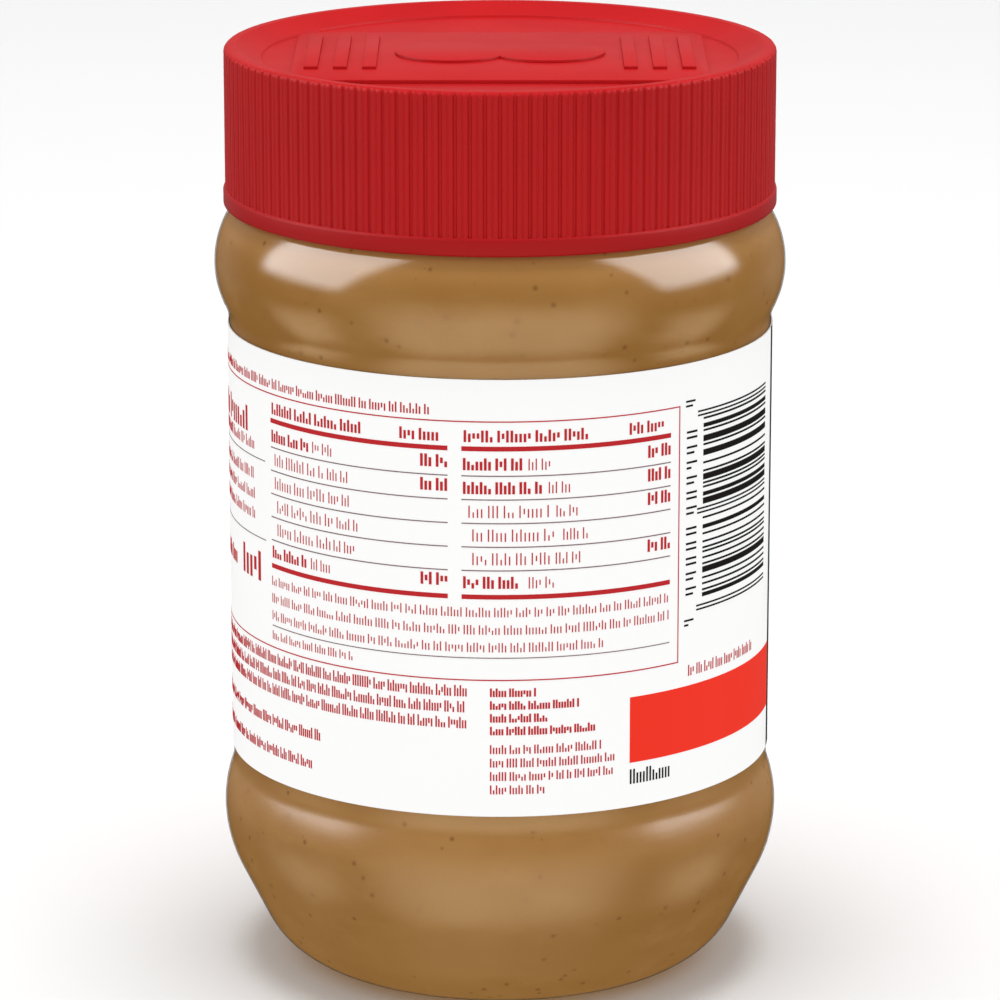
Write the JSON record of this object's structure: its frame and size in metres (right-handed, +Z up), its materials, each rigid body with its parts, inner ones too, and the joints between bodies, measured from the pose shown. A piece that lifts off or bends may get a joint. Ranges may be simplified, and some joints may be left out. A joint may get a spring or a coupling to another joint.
{
  "type": "peanut butter jar",
  "caption": "Clear round jar of peanut butter with a ribbed red screw lid, a wrap-around label in a recessed panel, bulged shoulder and heel, and a tapered, rounded foot.",
  "frame": {"origin": "centre of the foot ring, on the plane that the jar stands on", "axes": "+Z up along the jar's axis; the printed side of the label that is shown faces -Y, with the stripe code towards +X and the front panel towards +Y"},
  "size_m": [0.076, 0.076, 0.1249],
  "materials": {
    "clear_plastic": "clear, glossy blown plastic",
    "peanut_butter": "smooth tan-brown paste with fine darker specks",
    "label": "white coated label with red, grey and black print",
    "lid": "red moulded plastic, satin gloss"
  },
  "bodies": {
    "root": {"jar": "clear_plastic", "peanut_butter": "peanut_butter", "label": "label", "lid": "lid"}
  },
  "joints": []
}
